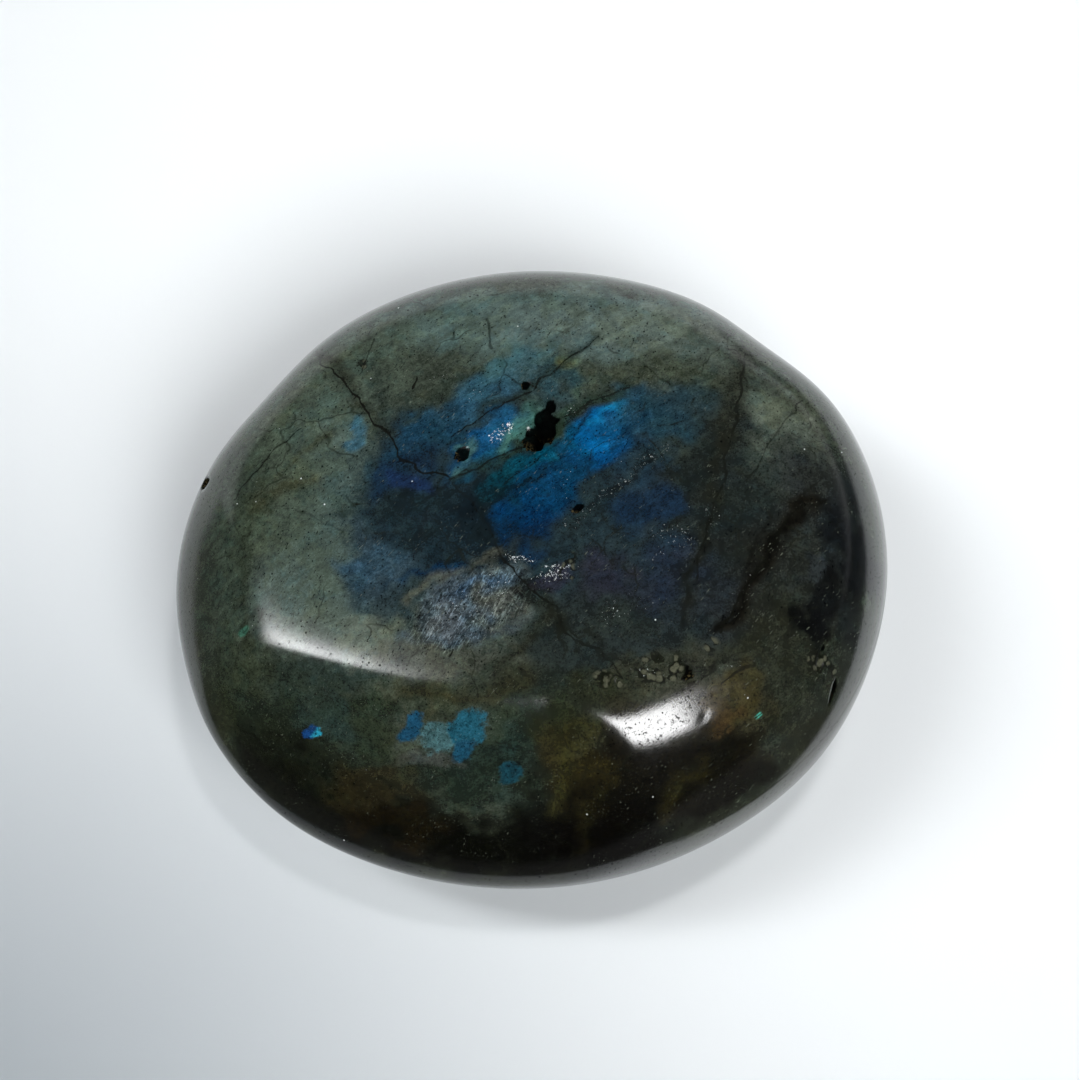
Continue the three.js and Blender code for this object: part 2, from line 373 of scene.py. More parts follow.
# %% Washes of the upper side
# x, y, half length, half width in mm and turn in degrees; softness, colour, strength.
BODY = "#3a4238"  # the plain grey-green of the body
WASHES = [
    ((2.0, 16.2, 13.2, 3.1, 0), 0.9, "#52645f", 1.00),
    ((4.8, 15.6, 7.6, 2.0, -4), 0.9, "#566460", 0.80),
    ((9.6, 15.3, 5.6, 2.3, -15), 0.9, "#5b675f", 0.90),
    ((15.0, 13.9, 4.2, 2.7, -35), 0.9, "#434b42", 0.80),
    ((-14.1, 11.0, 5.6, 4.7, 45), 0.9, "#475246", 1.00),
    ((-13.6, 0.7, 4.3, 8.5, 0), 0.8, "#4a5952", 1.00),
    ((-18.3, 2.7, 3.5, 9.3, 5), 0.9, "#434e41", 0.80),
    ((-21.1, 0.3, 2.5, 10.1, 5), 0.9, "#354035", 0.90),
    ((-15.5, -5.0, 3.5, 3.9, 0), 0.9, "#485650", 0.70),
    ((-2.1, 1.7, 10.4, 8.5, -10), 0.5, "#1b2a30", 0.95),
    ((-6.1, -1.2, 5.6, 4.3, 20), 0.9, "#16242a", 0.80),
    ((-3.1, 0.6, 2.4, 3.1, 40), 0.9, "#0a151b", 0.70),
    ((-9.8, -4.3, 2.8, 2.3, 0), 0.9, "#2a3a40", 0.70),
    ((-10.7, -2.0, 1.7, 2.7, 20), 0.9, "#33454f", 0.70),
    ((12.7, 0.2, 4.9, 10.1, -10), 0.6, "#1b2222", 0.95),
    ((8.9, -5.7, 6.2, 3.9, 0), 0.9, "#20262a", 0.90),
    ((4.6, -8.5, 6.2, 3.1, 0), 0.8, "#222a29", 0.90),
    ((17.0, 7.7, 2.5, 3.3, 60), 0.6, "#565f54", 0.95),
    ((17.6, 4.2, 3.1, 2.3, -30), 0.9, "#30362f", 0.80),
    ((19.7, 2.2, 2.8, 4.7, 0), 0.9, "#25292a", 0.80),
    ((21.3, -1.8, 1.9, 7.0, 0), 0.8, "#15191a", 0.90),
    ((16.6, -3.9, 3.5, 4.7, 20), 0.9, "#1d1f1b", 0.80),
    ((17.3, -10.3, 4.2, 4.7, 45), 0.9, "#202218", 0.80),
    ((-6.0, -8.3, 3.5, 2.2, 0), 0.8, "#454c45", 0.80),
    ((-10.7, -8.1, 2.8, 1.7, -8), 0.7, "#5b6459", 0.90),
    ((-14.8, -6.8, 3.5, 1.6, -12), 0.8, "#4d594f", 0.80),
    ((-6.7, -9.3, 3.5, 1.2, -8), 0.8, "#4d5149", 0.80),
    ((-2.0, -10.1, 3.5, 1.2, 0), 0.9, "#3c4036", 0.70),
    ((-18.9, -10.4, 3.5, 3.1, -20), 0.9, "#2d3529", 0.90),
    ((-13.4, -11.4, 4.9, 2.2, -8), 0.7, "#28332d", 0.95),
    ((-6.6, -12.2, 4.9, 1.7, -4), 0.7, "#3a3f31", 0.90),
    ((-2.0, -12.5, 2.8, 1.9, 0), 0.8, "#2c352c", 0.90),
    ((1.9, -11.8, 2.8, 1.9, 0), 0.9, "#1f2620", 0.90),
    ((4.5, -11.8, 2.1, 1.6, 0), 0.9, "#26291a", 0.80),
    ((7.2, -10.6, 2.8, 1.2, 5), 0.9, "#35372a", 0.80),
    ((10.5, -11.2, 3.1, 1.6, 15), 0.9, "#34362c", 0.80),
    ((13.5, -13.2, 2.8, 2.3, 30), 0.8, "#343222", 0.90),
    ((8.5, -13.8, 4.2, 2.3, 15), 0.8, "#231f14", 0.90),
    ((-16.9, -12.9, 3.5, 2.3, -15), 0.9, "#20281f", 0.95),
    ((-13.8, -13.0, 1.7, 1.6, 0), 0.9, "#263530", 0.80),
    ((-10.6, -13.6, 2.1, 1.4, 0), 0.9, "#242c1d", 0.80),
    ((-1.7, -14.2, 2.1, 1.9, 0), 0.9, "#2b3529", 0.90),
    ((-0.6, -15.7, 1.5, 2.6, -20), 0.8, "#26352f", 0.90),
    ((1.4, -13.7, 1.7, 1.7, 0), 0.9, "#1f2414", 0.90),
    # The next washes, down to the front edge, darken the front slope nearly to black: partly its own dark,
    # partly painted shade of a slope that faces away from the light.
    ((-13.5, -15.6, 4.2, 1.6, -15), 0.9, "#1e241a", 0.95),
    ((-8.7, -16.1, 3.5, 1.3, -5), 0.9, "#21251a", 0.90),
    ((-4.0, -16.3, 2.8, 1.5, 0), 0.9, "#19251f", 0.90),
    ((0.6, -17.7, 1.7, 2.6, -20), 0.9, "#161b13", 0.90),
    ((5.6, -17.3, 4.2, 3.2, 0), 0.8, "#120f07", 0.95),
    ((2.9, -16.4, 1.8, 2.8, 30), 0.9, "#28240f", 0.80),
    ((11.2, -16.4, 4.9, 2.6, 20), 0.8, "#0b0903", 0.95),
    ((-15.8, -16.9, 4.2, 1.9, -35), 0.9, "#0e110b", 0.90),
    ((-8.9, -19.3, 6.2, 1.9, -12), 0.8, "#090b05", 0.95),
    ((-0.7, -20.2, 5.6, 1.6, 0), 0.8, "#070904", 0.95),
    ((4.6, -20.3, 4.9, 2.6, 0), 0.9, "#040301", 0.95),
    ((-10.7, -16.6, 2.6, 1.2, -10), 0.8, "#2e2a1a", 0.70),
    ((-9.0, -18.8, 3.4, 0.9, -8), 0.8, "#221d0e", 0.70),
    ((-6.8, -15.7, 1.8, 0.8, -10), 0.5, "#3b3f3a", 0.85),
    ((13.8, -11.6, 1.9, 1.2, 50), 0.7, "#353018", 0.80),
    ((12.6, -13.0, 1.0, 0.8, 20), 0.7, "#44351f", 0.60),
    ((18.6, -6.4, 1.5, 1.3, 20), 0.5, "#040505", 0.97),
    ((19.6, -4.4, 1.2, 1.9, -20), 0.7, "#0a0c0d", 0.90),
    ((22.0, -1.5, 1.3, 3.4, 8), 0.7, "#0b0e11", 0.85),
    ((18.4, -2.4, 1.1, 1.5, 0), 0.7, "#262c30", 0.85),
]


def lay(ground, washes):
    """Lays soft spots of colour over a ground, one after the other, on the upper side."""
    for at, soft, colour, strength in washes:
        share = (strength * up * spot(X, Y, at, soft))[:, None]
        ground = ground * (1 - share) + linear(colour) * share
    return ground


def draw(ground, bands):
    """Draws soft bands along paths over a ground, on the upper side."""
    for path, half, colour, strength in bands:
        gap = line_offset(WAVY_X, WAVY_Y, path)
        share = (strength * up * bell(np.hypot(gap[:, 0], gap[:, 1]), half))[:, None]
        ground = ground * (1 - share) + linear(colour) * share
    return ground


UP_FROM, UP_OVER = 4.0, 5.0  # mm above the table: where the upper side's paint sets in
up = smooth((seat[:, 2] - UP_FROM) / UP_OVER)
body = lay(np.tile(linear(BODY), (len(points), 1)), WASHES)
print(len(WASHES), "washes laid on the upper side")

# %% The underside and the far flanks
UNDER_SHARE, RUST_SHARE = 0.8, 0.7
FLANK_TOP, FLANK_OVER = 11.5, 4.5  # mm above the table, up to where the flanks get painted shade
FLANK_SHADE = np.array([0.55, 0.50, 0.40])  # painted shade: the low flanks are darker, with a browner tone
under = (1 - up)[:, None]
tone = smooth(0.5 + 0.45 * drift(seat, 11.0, 21) + 0.25 * drift(seat, 4.0, 22))[:, None]
deep = linear("#161b15") * (1 - tone) + linear("#3d483f") * tone
body = body * (1 - UNDER_SHARE * under) + deep * UNDER_SHARE * under
rust = (smooth((drift(seat, 7.0, 23) - 0.9) / 0.8) * RUST_SHARE)[:, None] * under
body = body * (1 - rust) + linear("#3a3320") * rust
# Painted shade: the upper side's paint is darkened and browned on the low flanks, more the nearer the
# table.
sunk = smooth((seat[:, 2] - FLANK_TOP) / FLANK_OVER)[:, None]
body = body * (1 - up[:, None] * (1 - sunk) * (1 - FLANK_SHADE))
print("underside painted, rusty share", round(float((rust > 0.3).mean()), 3))

# %% [markdown]
# ## The flash
# Labradorite cooled so slowly that it split into sheets thinner than light's own wave, and they
# throw back blue light from inside the stone. The flash lies in fields that all lean the same way,
# with thin dark seams between them. Each field is a wash of its own blue, from navy over azure to
# teal, and the seams are drawn over them. How much a place flashes is kept beside the colour, so
# that the material can give it its fine streaks.

# %% Fields of the flash
# Each as a wash: place and size, softness, colour, strength.
FLASHES = [
    ((-6.9, 7.2, 3.1, 1.7, 30), 0.8, "#15364a", 0.90),
    ((-3.5, 9.9, 3.1, 1.7, 30), 0.8, "#2a4f63", 0.90),
    ((-1.1, 12.2, 2.8, 1.2, 20), 0.9, "#35565f", 0.70),
    ((2.0, 11.1, 2.1, 1.2, 20), 0.9, "#2c4850", 0.80),
    ((-3.6, 6.0, 2.5, 1.2, 38), 0.7, "#073c60", 0.95),
    ((-2.1, 7.2, 1.8, 1.1, 40), 0.8, "#1f5a80", 0.80),
    ((-2.1, 5.2, 2.4, 0.5, 30), 0.9, "#0c4a66", 0.80),
    ((-0.5, 7.5, 2.1, 0.6, 68), 0.8, "#47766f", 0.80),
    ((4.6, 6.1, 2.8, 2.2, 32), 0.6, "#00406c", 0.95),
    ((5.1, 7.2, 1.9, 1.3, 30), 0.8, "#02588a", 0.90),
    ((5.5, 8.2, 1.0, 0.6, 20), 0.9, "#1276a2", 0.80),
    ((2.8, 6.1, 1.5, 1.1, 35), 0.9, "#064a68", 0.70),
    ((-0.8, 3.7, 2.8, 1.2, 38), 0.7, "#03343f", 0.95),
    ((0.3, 4.5, 1.2, 0.8, 38), 0.9, "#05455a", 0.80),
    ((0.9, 2.2, 3.3, 1.7, 42), 0.7, "#003050", 0.95),
    ((-0.1, -0.0, 2.1, 1.6, 45), 0.8, "#012a4c", 0.90),
    ((2.1, 3.8, 1.8, 1.1, 40), 0.9, "#0a3a5a", 0.70),
    ((8.5, 8.1, 2.9, 2.0, 25), 0.8, "#1c3b4b", 0.90),
    ((6.4, 9.7, 1.7, 0.8, 20), 0.9, "#1b4258", 0.70),
    ((10.9, 9.4, 2.1, 1.6, 20), 0.9, "#24383f", 0.70),
    ((7.4, 4.6, 1.7, 1.4, 35), 0.9, "#102c40", 0.80),
    ((7.7, 1.2, 2.6, 1.6, 40), 0.8, "#12263a", 0.85),
    ((8.3, -2.5, 2.5, 1.4, 30), 0.9, "#1b2b38", 0.70),
    ((-6.2, -3.4, 3.1, 0.6, 12), 0.7, "#03253f", 0.95),
    ((-9.3, 3.6, 2.4, 1.1, 45), 0.9, "#12283c", 0.80),
    ((-8.1, 3.5, 0.9, 0.8, 30), 0.8, "#16294a", 0.80),
    ((1.4, -3.7, 1.2, 0.8, 30), 0.6, "#2b2a38", 0.80),
    ((4.8, -4.3, 1.8, 1.2, 30), 0.9, "#232430", 0.70),
    ((8.9, -4.1, 2.8, 1.7, 25), 0.9, "#1e2633", 0.70),
    ((-12.4, 7.4, 1.5, 0.6, 90), 0.7, "#2f5566", 0.80),
    ((-11.4, 4.4, 1.1, 0.7, 90), 0.9, "#24404c", 0.60),
    ((-10.7, -2.4, 1.8, 1.1, 40), 0.9, "#2c4452", 0.70),
]
# Pale borders round the pits.
HALOS = [
    ((1.8, 8.0, 1.9, 0.6, 68), 0.9, "#33463a", 0.80),
    ((0.9, 6.5, 1.2, 1.1, 60), 0.9, "#2f3d2c", 0.80),
    ((-4.6, 5.3, 0.8, 0.7, 60), 0.8, "#3f625c", 0.80),
    ((3.4, 11.6, 1.0, 0.9, 0), 0.8, "#4f5f4c", 0.90),
    ((3.3, 11.4, 0.5, 0.7, 70), 0.8, "#434225", 0.80),
    ((-1.8, 12.5, 1.0, 0.8, 20), 0.9, "#45686c", 0.70),
]
# A plate of crumpled sheets that shines like a feather.
FEATHER = [
    ((-4.0, -6.0, 4.3, 2.5, 28), 0.3, "#3b474f", 0.95),
    ((-1.7, -4.0, 1.4, 1.6, 0), 0.8, "#4c5658", 0.80),
    ((-3.4, -5.2, 2.4, 0.9, 35), 0.9, "#33485c", 0.80),
    ((-5.6, -7.3, 1.5, 0.9, 30), 0.9, "#535a5e", 0.70),
    ((-1.7, -6.1, 1.8, 1.1, 30), 0.9, "#4c4f47", 0.80),
]
GLITTERING_SEAM = [(2.1, -0.6), (4.0, 1.2), (5.7, 2.5), (7.4, 4.3), (9.3, 6.1)]
# A path of x and y, half width in mm, colour, strength.
BANDS = [
    ([(-15.2, 14.9), (-13.0, 11.9), (-11.2, 8.9), (-10.1, 7.3)], 0.49, "#22231a", 0.75),
    ([(-10.9, 12.2), (-10.2, 9.4), (-10.3, 7.4)], 0.63, "#27302b", 0.70),
    ([(-8.9, 8.1), (-7.0, 9.8), (-5.2, 11.0), (-3.3, 12.2)], 0.35, "#2b352c", 0.70),
    (
        [(-4.2, 7.5), (-2.2, 9.0), (-0.1, 10.3), (1.3, 11.6), (3.1, 13.3), (4.8, 14.7)],
        0.35, "#1f2a26", 0.80,
    ),
    (
        [(-5.5, 3.3), (-3.5, 4.2), (-1.4, 5.3), (0.6, 6.3), (1.8, 7.4), (3.7, 8.9), (6.5, 10.4)],
        0.42, "#1c2a22", 0.85,
    ),
    (GLITTERING_SEAM, 0.63, "#222d2d", 0.75),
    ([(15.0, 13.9), (14.0, 9.5), (13.0, 6.3)], 0.92, "#25261c", 0.70),
    ([(13.0, 6.3), (12.2, 1.6), (11.3, -2.8), (10.5, -5.6)], 0.77, "#1d1f18", 0.80),
    ([(19.6, 2.0), (17.9, 1.2), (16.4, -1.5), (14.9, -4.4), (13.0, -7.3)], 0.63, "#15120a", 0.90),
    ([(-19.8, -1.6), (-19.5, -4.5), (-19.1, -7.3)], 0.49, "#2a3022", 0.70),
    ([(-8.4, -11.5), (-5.3, -12.2), (-2.0, -11.8), (-0.1, -10.9)], 0.56, "#2c2b19", 0.80),
    ([(1.1, -6.9), (-0.7, -9.1), (-2.2, -11.0)], 0.56, "#22241a", 0.80),
    ([(-0.7, -4.6), (1.1, -5.9), (2.1, -7.6)], 0.63, "#16180f", 0.80),
    ([(4.0, -13.8), (2.9, -15.0), (2.1, -16.6), (1.7, -18.2)], 0.56, "#302f17", 0.80),
    ([(5.2, -16.5), (3.9, -18.0), (3.4, -19.9)], 0.56, "#1f1c0b", 0.80),
    ([(8.9, -18.5), (9.9, -17.2), (11.5, -16.2)], 0.49, "#24210e", 0.80),
    ([(-18.7, 2.4), (-16.9, 3.4), (-15.1, 3.9)], 0.70, "#3a3b26", 0.70),
    ([(-13.9, 7.7), (-15.9, 5.9), (-18.0, 4.2)], 0.42, "#353826", 0.60),
    ([(-8.7, -5.4), (-6.1, -3.7), (-3.4, -2.8), (-1.7, -2.5)], 0.28, "#55574a", 0.60),
    ([(17.6, 0.6), (16.4, -1.5), (15.4, -3.4), (14.6, -4.9), (12.4, -7.6)], 0.26, "#040402", 0.95),
    ([(16.2, 0.8), (15.3, -1.2), (14.4, -3.6)], 0.20, "#0b0b07", 0.80),
    ([(12.0, -1.0), (11.2, -3.4), (10.3, -5.6), (9.8, -7.4)], 0.22, "#0c0d09", 0.80),
    ([(19.9, 2.2), (18.9, 1.9), (17.6, 0.6)], 0.30, "#0b0a06", 0.85),
    ([(9.5, -9.6), (11.5, -10.4), (13.0, -9.3)], 0.30, "#0e120e", 0.70),
    ([(3.6, -8.0), (5.0, -9.6), (6.4, -10.0)], 0.30, "#12140e", 0.70),
    ([(-5.6, 3.2), (-6.8, 1.6), (-7.4, -0.6)], 0.25, "#10161a", 0.70),
    ([(-0.2, 9.6), (1.0, 9.4), (2.6, 9.9)], 0.22, "#27393a", 0.60),
    ([(5.2, 5.0), (6.6, 6.6), (7.9, 8.4)], 0.18, "#0c2a3c", 0.80),
    ([(1.6, 4.4), (2.6, 6.0), (3.4, 7.6)], 0.16, "#07293a", 0.80),
    ([(-2.6, 1.6), (-0.6, 3.0), (1.2, 4.0)], 0.20, "#06181c", 0.80),
    ([(4.0, 1.2), (6.4, 3.0), (8.2, 4.9)], 0.20, "#10171a", 0.80),
]
flash = np.zeros(len(points))
for at, soft, colour, strength in FLASHES:
    flash = np.maximum(flash, strength * up * spot(X, Y, at, soft))
feather = up * spot(WAVY_X, WAVY_Y, FEATHER[0][0], FEATHER[0][1])
body = lay(body, FLASHES)
body = lay(body, HALOS)
body = lay(body, FEATHER)
body = draw(body, BANDS)
print(len(FLASHES), "fields of flash and", len(BANDS), "seams and stains")

# %% Small bright patches with clear borders
PATCHES = [
    ((-7.9, -13.7, 1.0, 0.55, 40), "#14425c"),
    ((-6.2, -14.3, 1.5, 0.75, -10), "#3d5d60"),
    ((-4.3, -13.9, 1.35, 0.95, 10), "#1b5061"),
    ((-4.6, -15.1, 0.85, 0.55, 20), "#16445a"),
    ((-14.3, -13.5, 0.30, 0.24, 0), "#2a9ab4"),
    ((-14.8, -13.3, 0.38, 0.26, 0), "#123c70"),
    ((-19.4, -6.7, 0.56, 0.35, 45), "#35604f"),
    ((15.2, -12.6, 0.21, 0.16, 30), "#4fb8a2"),
    ((-1.3, -16.4, 0.83, 0.62, 0), "#123843"),
]
patch = np.zeros((len(points), 4))
for at, colour in PATCHES:
    share = up * spot(FINE_X, FINE_Y, at, 1.2)
    take = share > patch[:, 3]
    patch[take, :3] = linear(colour)
    patch[:, 3] = np.maximum(patch[:, 3], share)
print(len(PATCHES), "small patches")

# %% Where the stone glitters
# Broken edges of the sheets throw back white sparks, in clusters and along one of the seams.
SPARKS = [
    ((-2.3, 6.8, 1.3, 0.6, 35), 1.0), ((-4.4, 9.6, 1.6, 0.7, 35), 0.5),
    ((-6.0, 11.5, 1.2, 0.4, 15), 0.6), ((1.4, -3.7, 1.4, 0.8, 30), 0.9),
    ((9.2, -1.4, 1.8, 1.5, 30), 0.6), ((12.0, 0.1, 1.0, 1.4, 30), 0.6),
    ((6.0, -6.2, 2.4, 1.2, 20), 0.5), ((2.6, 8.6, 0.8, 0.4, 40), 0.8),
    ((2.6, 3.0, 1.5, 0.6, 50), 0.5), ((14.0, -4.2, 2.2, 2.0, 30), 0.4),
    ((-3.0, -5.0, 3.4, 1.4, 35), 0.6), ((-4.6, -6.6, 3.6, 1.8, 28), 0.35),
    ((-0.6, -2.6, 1.0, 0.6, 20), 0.9), ((7.5, -10.3, 1.6, 0.7, 10), 0.6),
    ((13.6, -10.0, 1.6, 1.2, 30), 0.5), ((19.0, -8.0, 2.4, 2.4, 60), 0.3),
]
ELSEWHERE, SEAM_GLITTER, SEAM_HALF = 0.12, 0.7, 0.5  # glitter, glitter, and mm
sparkle = np.full(len(points), ELSEWHERE)
for at, strength in SPARKS:
    sparkle = np.maximum(sparkle, strength * up * spot(WAVY_X, WAVY_Y, at, 1.0))
gap = line_offset(WAVY_X, WAVY_Y, GLITTERING_SEAM)
sparkle = np.maximum(sparkle, SEAM_GLITTER * up * bell(np.hypot(gap[:, 0], gap[:, 1]), SEAM_HALF))
print("glittering share", round(float((sparkle > 0.3).mean()), 3))

# %% Crumbly and pitted places
# Pale crumbs with black gaps, and fine black pitting that also breaks the mirrored window.
CRUMBS = [
    (8.4, -10.3, 1.6, 1.0, 20), (5.2, -11.2, 1.1, 0.5, -10), (2.5, -3.3, 0.5, 1.1, -10),
    (11.8, -8.6, 0.7, 0.5, 40), (19.6, -9.0, 0.7, 1.0, 60), (-11.9, 13.0, 0.5, 0.5, 0),
]
PITTED = [
    (10.4, -12.7, 1.5, 0.55, 32), (7.4, -14.6, 2.6, 0.5, 12), (5.0, -14.3, 0.6, 0.4, 20),
    (19.8, -9.4, 1.6, 0.5, 62), (-1.6, -15.4, 1.4, 1.0, 60), (18.0, -8.0, 1.2, 0.5, 40),
]
crumbly, pitted = np.zeros(len(points)), np.zeros(len(points))
for at in CRUMBS:
    crumbly = np.maximum(crumbly, up * spot(FINE_X, FINE_Y, at, 0.9))
for at in PITTED:
    pitted = np.maximum(pitted, up * spot(FINE_X, FINE_Y, at, 1.2))
print(len(CRUMBS), "crumbly and", len(PITTED), "pitted places")

# %% [markdown]
# ## Cracks
# Healed cracks cross the stone as thin dark lines. A line thinner than the mesh's cells can't be
# painted on its points, but the way back to the nearest crack changes evenly from point to
# point. That vector is stored, and the material draws a line where its length is small.

# %% Paths of the cracks
# A path of x and y, and how strong the crack is.
CRACKS = [
    ([(-15.4, 15.0), (-14.6, 13.5), (-12.4, 10.9), (-11.2, 8.9), (-10.3, 7.5), (-8.9, 5.1),
      (-7.5, 4.2), (-5.6, 3.4)], 1.0),
    ([(-5.6, 3.4), (-4.1, 1.7), (-2.8, -0.2), (-1.9, -2.5)], 0.6),
    ([(-1.9, -2.5), (-1.6, -3.0), (-0.7, -4.2), (-0.1, -4.9), (0.8, -5.7), (1.5, -6.2)], 1.0),
    ([(1.5, -6.2), (1.9, -7.4), (2.7, -8.5), (3.6, -8.8), (4.5, -9.2), (5.3, -10.2), (6.0, -11.0)], 0.8),
    ([(-11.0, 15.2), (-11.9, 12.1)], 0.7),
    ([(-20.5, 3.2), (-18.8, 5.4), (-17.5, 6.8), (-15.9, 8.2)], 0.8),
    ([(-19.5, 2.6), (-17.7, 3.8), (-16.6, 4.5)], 0.5),
    ([(-17.4, 2.1), (-14.8, 1.2), (-12.6, -0.5)], 0.35),
    ([(-3.1, 16.5), (-2.8, 13.8)], 0.7),
    ([(14.9, 13.7), (14.3, 9.1), (13.5, 6.2), (13.2, 3.9), (12.5, 1.5), (11.8, -0.7),
      (11.1, -2.9), (10.9, -4.2)], 0.8),
    ([(18.8, 10.1), (16.9, 7.2), (15.8, 5.4), (15.4, 4.4), (14.6, 3.1)], 0.6),
    ([(20.0, 2.3), (18.4, 1.7), (17.1, 0.2), (15.9, -1.9), (14.8, -3.9), (13.9, -5.5),
      (12.5, -7.6)], 1.0),
    ([(20.0, 4.1), (18.5, 2.5)], 0.6),
    ([(14.6, -9.7), (12.4, -11.3)], 0.8),
    ([(-19.7, -12.5), (-17.4, -14.2)], 0.8),
    ([(-0.4, -10.4), (0.3, -11.5)], 0.5),
    ([(-5.6, 3.3), (-3.5, 4.2), (-1.4, 5.3), (0.6, 6.3)], 0.7),
    ([(1.8, 7.4), (3.7, 8.9), (6.5, 10.4)], 0.6),
    ([(-5.5, 6.7), (-3.9, 7.7), (-2.2, 9.0), (-0.1, 10.3), (1.3, 11.6), (3.1, 13.3), (4.8, 14.6)], 0.7),
    ([(-2.1, 2.7), (-0.8, 3.9), (0.9, 5.0), (2.0, 6.2)], 0.5),
    ([(2.5, 5.4), (3.2, 7.3), (4.0, 8.5)], 0.4),
    ([(-8.2, 10.6), (-7.8, 11.5)], 1.0),
    ([(-5.6, -9.6), (-5.2, -9.0)], 1.0),
]
STRONG_TO, WEAK_OVER = 0.3, 0.5  # mm from a crack's middle
LOW_FROM, LOW_OVER = 3.0, 3.0  # mm above the table, where the cracks end
crack = np.zeros((len(points), 3))
best = np.full(len(points), 1e9)
for path, strength in CRACKS:
    gap = line_offset(FINE_X, FINE_Y, path)
    far = np.hypot(gap[:, 0], gap[:, 1])
    take = far < best
    crack[take, :2] = gap[take]
    crack[take, 2] = strength
    best = np.minimum(best, far)
crack[:, 2] *= 1 - smooth((best - STRONG_TO) / WEAK_OVER)
crack[:, 2] *= smooth((seat[:, 2] - LOW_FROM) / LOW_OVER)
print(len(CRACKS), "cracks")

# %% [markdown]
# ## The mesh
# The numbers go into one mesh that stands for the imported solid. Its object sits at the origin,
# and its attributes carry the markings to the material.

# %% Make the mesh
mesh = bpy.data.meshes.new("polished_stone")
mesh.from_pydata(((pressed + SHIFT) * MM).tolist(), [], quads.tolist())
mesh.polygons.foreach_set("use_smooth", np.ones(len(quads), bool))
mesh.update()
stone = bpy.data.objects.new("polished_stone", mesh)
bpy.context.scene.collection.objects.link(stone)


def store(name, kind, values):
    """Puts one row of numbers per point into an attribute of the mesh."""
    attribute = mesh.attributes.new(name, kind, "POINT")
    field = {"FLOAT_COLOR": "color", "FLOAT_VECTOR": "vector", "FLOAT": "value"}[kind]
    attribute.data.foreach_set(field, np.ascontiguousarray(values, dtype=np.float32).ravel())


store("body", "FLOAT_COLOR", np.hstack([body, np.ones((len(points), 1))]))
store("patch", "FLOAT_COLOR", patch)
store("crack", "FLOAT_VECTOR", crack)
store("pit", "FLOAT_VECTOR", offsets)
store("texture", "FLOAT_VECTOR", np.stack([flash, feather, sparkle], -1))
store("damage_and_pit_shade", "FLOAT_VECTOR", np.stack([crumbly, pitted, inside], -1))
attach(stone, "root")
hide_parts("stone")
print("stone mesh of", len(mesh.vertices), "points")


# %% [markdown]
# ## The material
# Feldspar is glassy, with an index near 1.56. Tumbling with fine polish leaves it smooth but not
# perfect, so it reflects like lacquer with tiny scratches. Under that, light meets grains, sheets
# and specks. One helper adds every node, and a table gives each node that it adds a plain name.

# %% A helper for nodes
# By name: Blender's node, its settings, the inputs that its values go to, and its output.
NODES = {
    "plus": ("Math", {"operation": "ADD"}, (0, 1), 0),
    "minus": ("Math", {"operation": "SUBTRACT"}, (0, 1), 0),
    "times": ("Math", {"operation": "MULTIPLY"}, (0, 1), 0),
    "times plus": ("Math", {"operation": "MULTIPLY_ADD"}, (0, 1, 2), 0),
    "over": ("Math", {"operation": "DIVIDE"}, (0, 1), 0),
    "larger": ("Math", {"operation": "MAXIMUM"}, (0, 1), 0),
    "is less": ("Math", {"operation": "LESS_THAN"}, (0, 1), 0),
    "is more": ("Math", {"operation": "GREATER_THAN"}, (0, 1), 0),
    "step": ("MapRange", {"interpolation_type": "SMOOTHSTEP"}, (0, 1, 2, 3, 4), 0),
    "stretch": ("MapRange", {}, (0, 1, 2), 0),
    "mix": ("Mix", {"data_type": "RGBA"}, (0, 6, 7), 2),
    "glaze": ("Mix", {"data_type": "RGBA", "blend_type": "MULTIPLY"}, (0, 6, 7), 2),
    "dim": ("VectorMath", {"operation": "SCALE"}, (0, "Scale"), 0),
    "move": ("VectorMath", {"operation": "ADD"}, (0, 1), 0),
    "scale each": ("VectorMath", {"operation": "MULTIPLY"}, (0, 1), 0),
    "scale and move": ("VectorMath", {"operation": "MULTIPLY_ADD"}, (0, 1, 2), 0),
    "length": ("VectorMath", {"operation": "LENGTH"}, (0,), "Value"),
    "distance": ("VectorMath", {"operation": "DISTANCE"}, (0, 1), "Value"),
    "along": ("VectorMath", {"operation": "DOT_PRODUCT"}, (0, 1), "Value"),
    "turned": ("Mapping", {"vector_type": "TEXTURE"}, (0, "Rotation", "Scale"), 0),
    "split": ("SeparateXYZ", {}, (0,), 0),
    "red part": ("SeparateColor", {}, (0,), 0),
    "brightness": ("RGBToBW", {}, (0,), 0),
    "place": ("TexCoord", {}, (), "Object"),
    "painted": ("Attribute", {}, (), "Color"),
    "noise": ("TexNoise", {}, ("Vector", "Scale", "Detail", "Roughness", "Distortion"), 0),
    "cells": ("TexVoronoi", {}, ("Vector", "Scale"), "Distance"),
    "bump": ("Bump", {}, ("Height", "Strength", "Distance"), 0),
    "glossy": ("BsdfPrincipled", {}, ("Base Color", "Roughness", "IOR", "Specular IOR Level", "Normal"), 0),
    "surface": ("OutputMaterial", {}, (0,), None),
    "glow": ("Background", {}, (0, 1), 0),
    "sky": ("OutputWorld", {}, (0,), None),
}


def add(name, *values, **more):
    """Adds the node with this plain name to `tree`, with any more settings, gives its inputs
    numbers or links in their order, and returns its output."""
    kind, settings, inputs, output = NODES[name]
    node = tree.nodes.new("ShaderNode" + kind)
    for setting, value in (settings | more).items():
        setattr(node, setting, value)
    for socket, value in zip(inputs, values):
        if isinstance(value, bpy.types.NodeSocket):
            tree.links.new(value, node.inputs[socket])
        else:
            node.inputs[socket].default_value = value
    return node.outputs[output] if node.outputs else node


def paint(colour):
    """An sRGB hex colour as the four linear numbers of a colour socket."""
    return (*linear(colour), 1)


def per(size_mm):
    """Scale of a noise whose features are near this size, for coordinates in metres."""
    return 1 / (size_mm * MM)


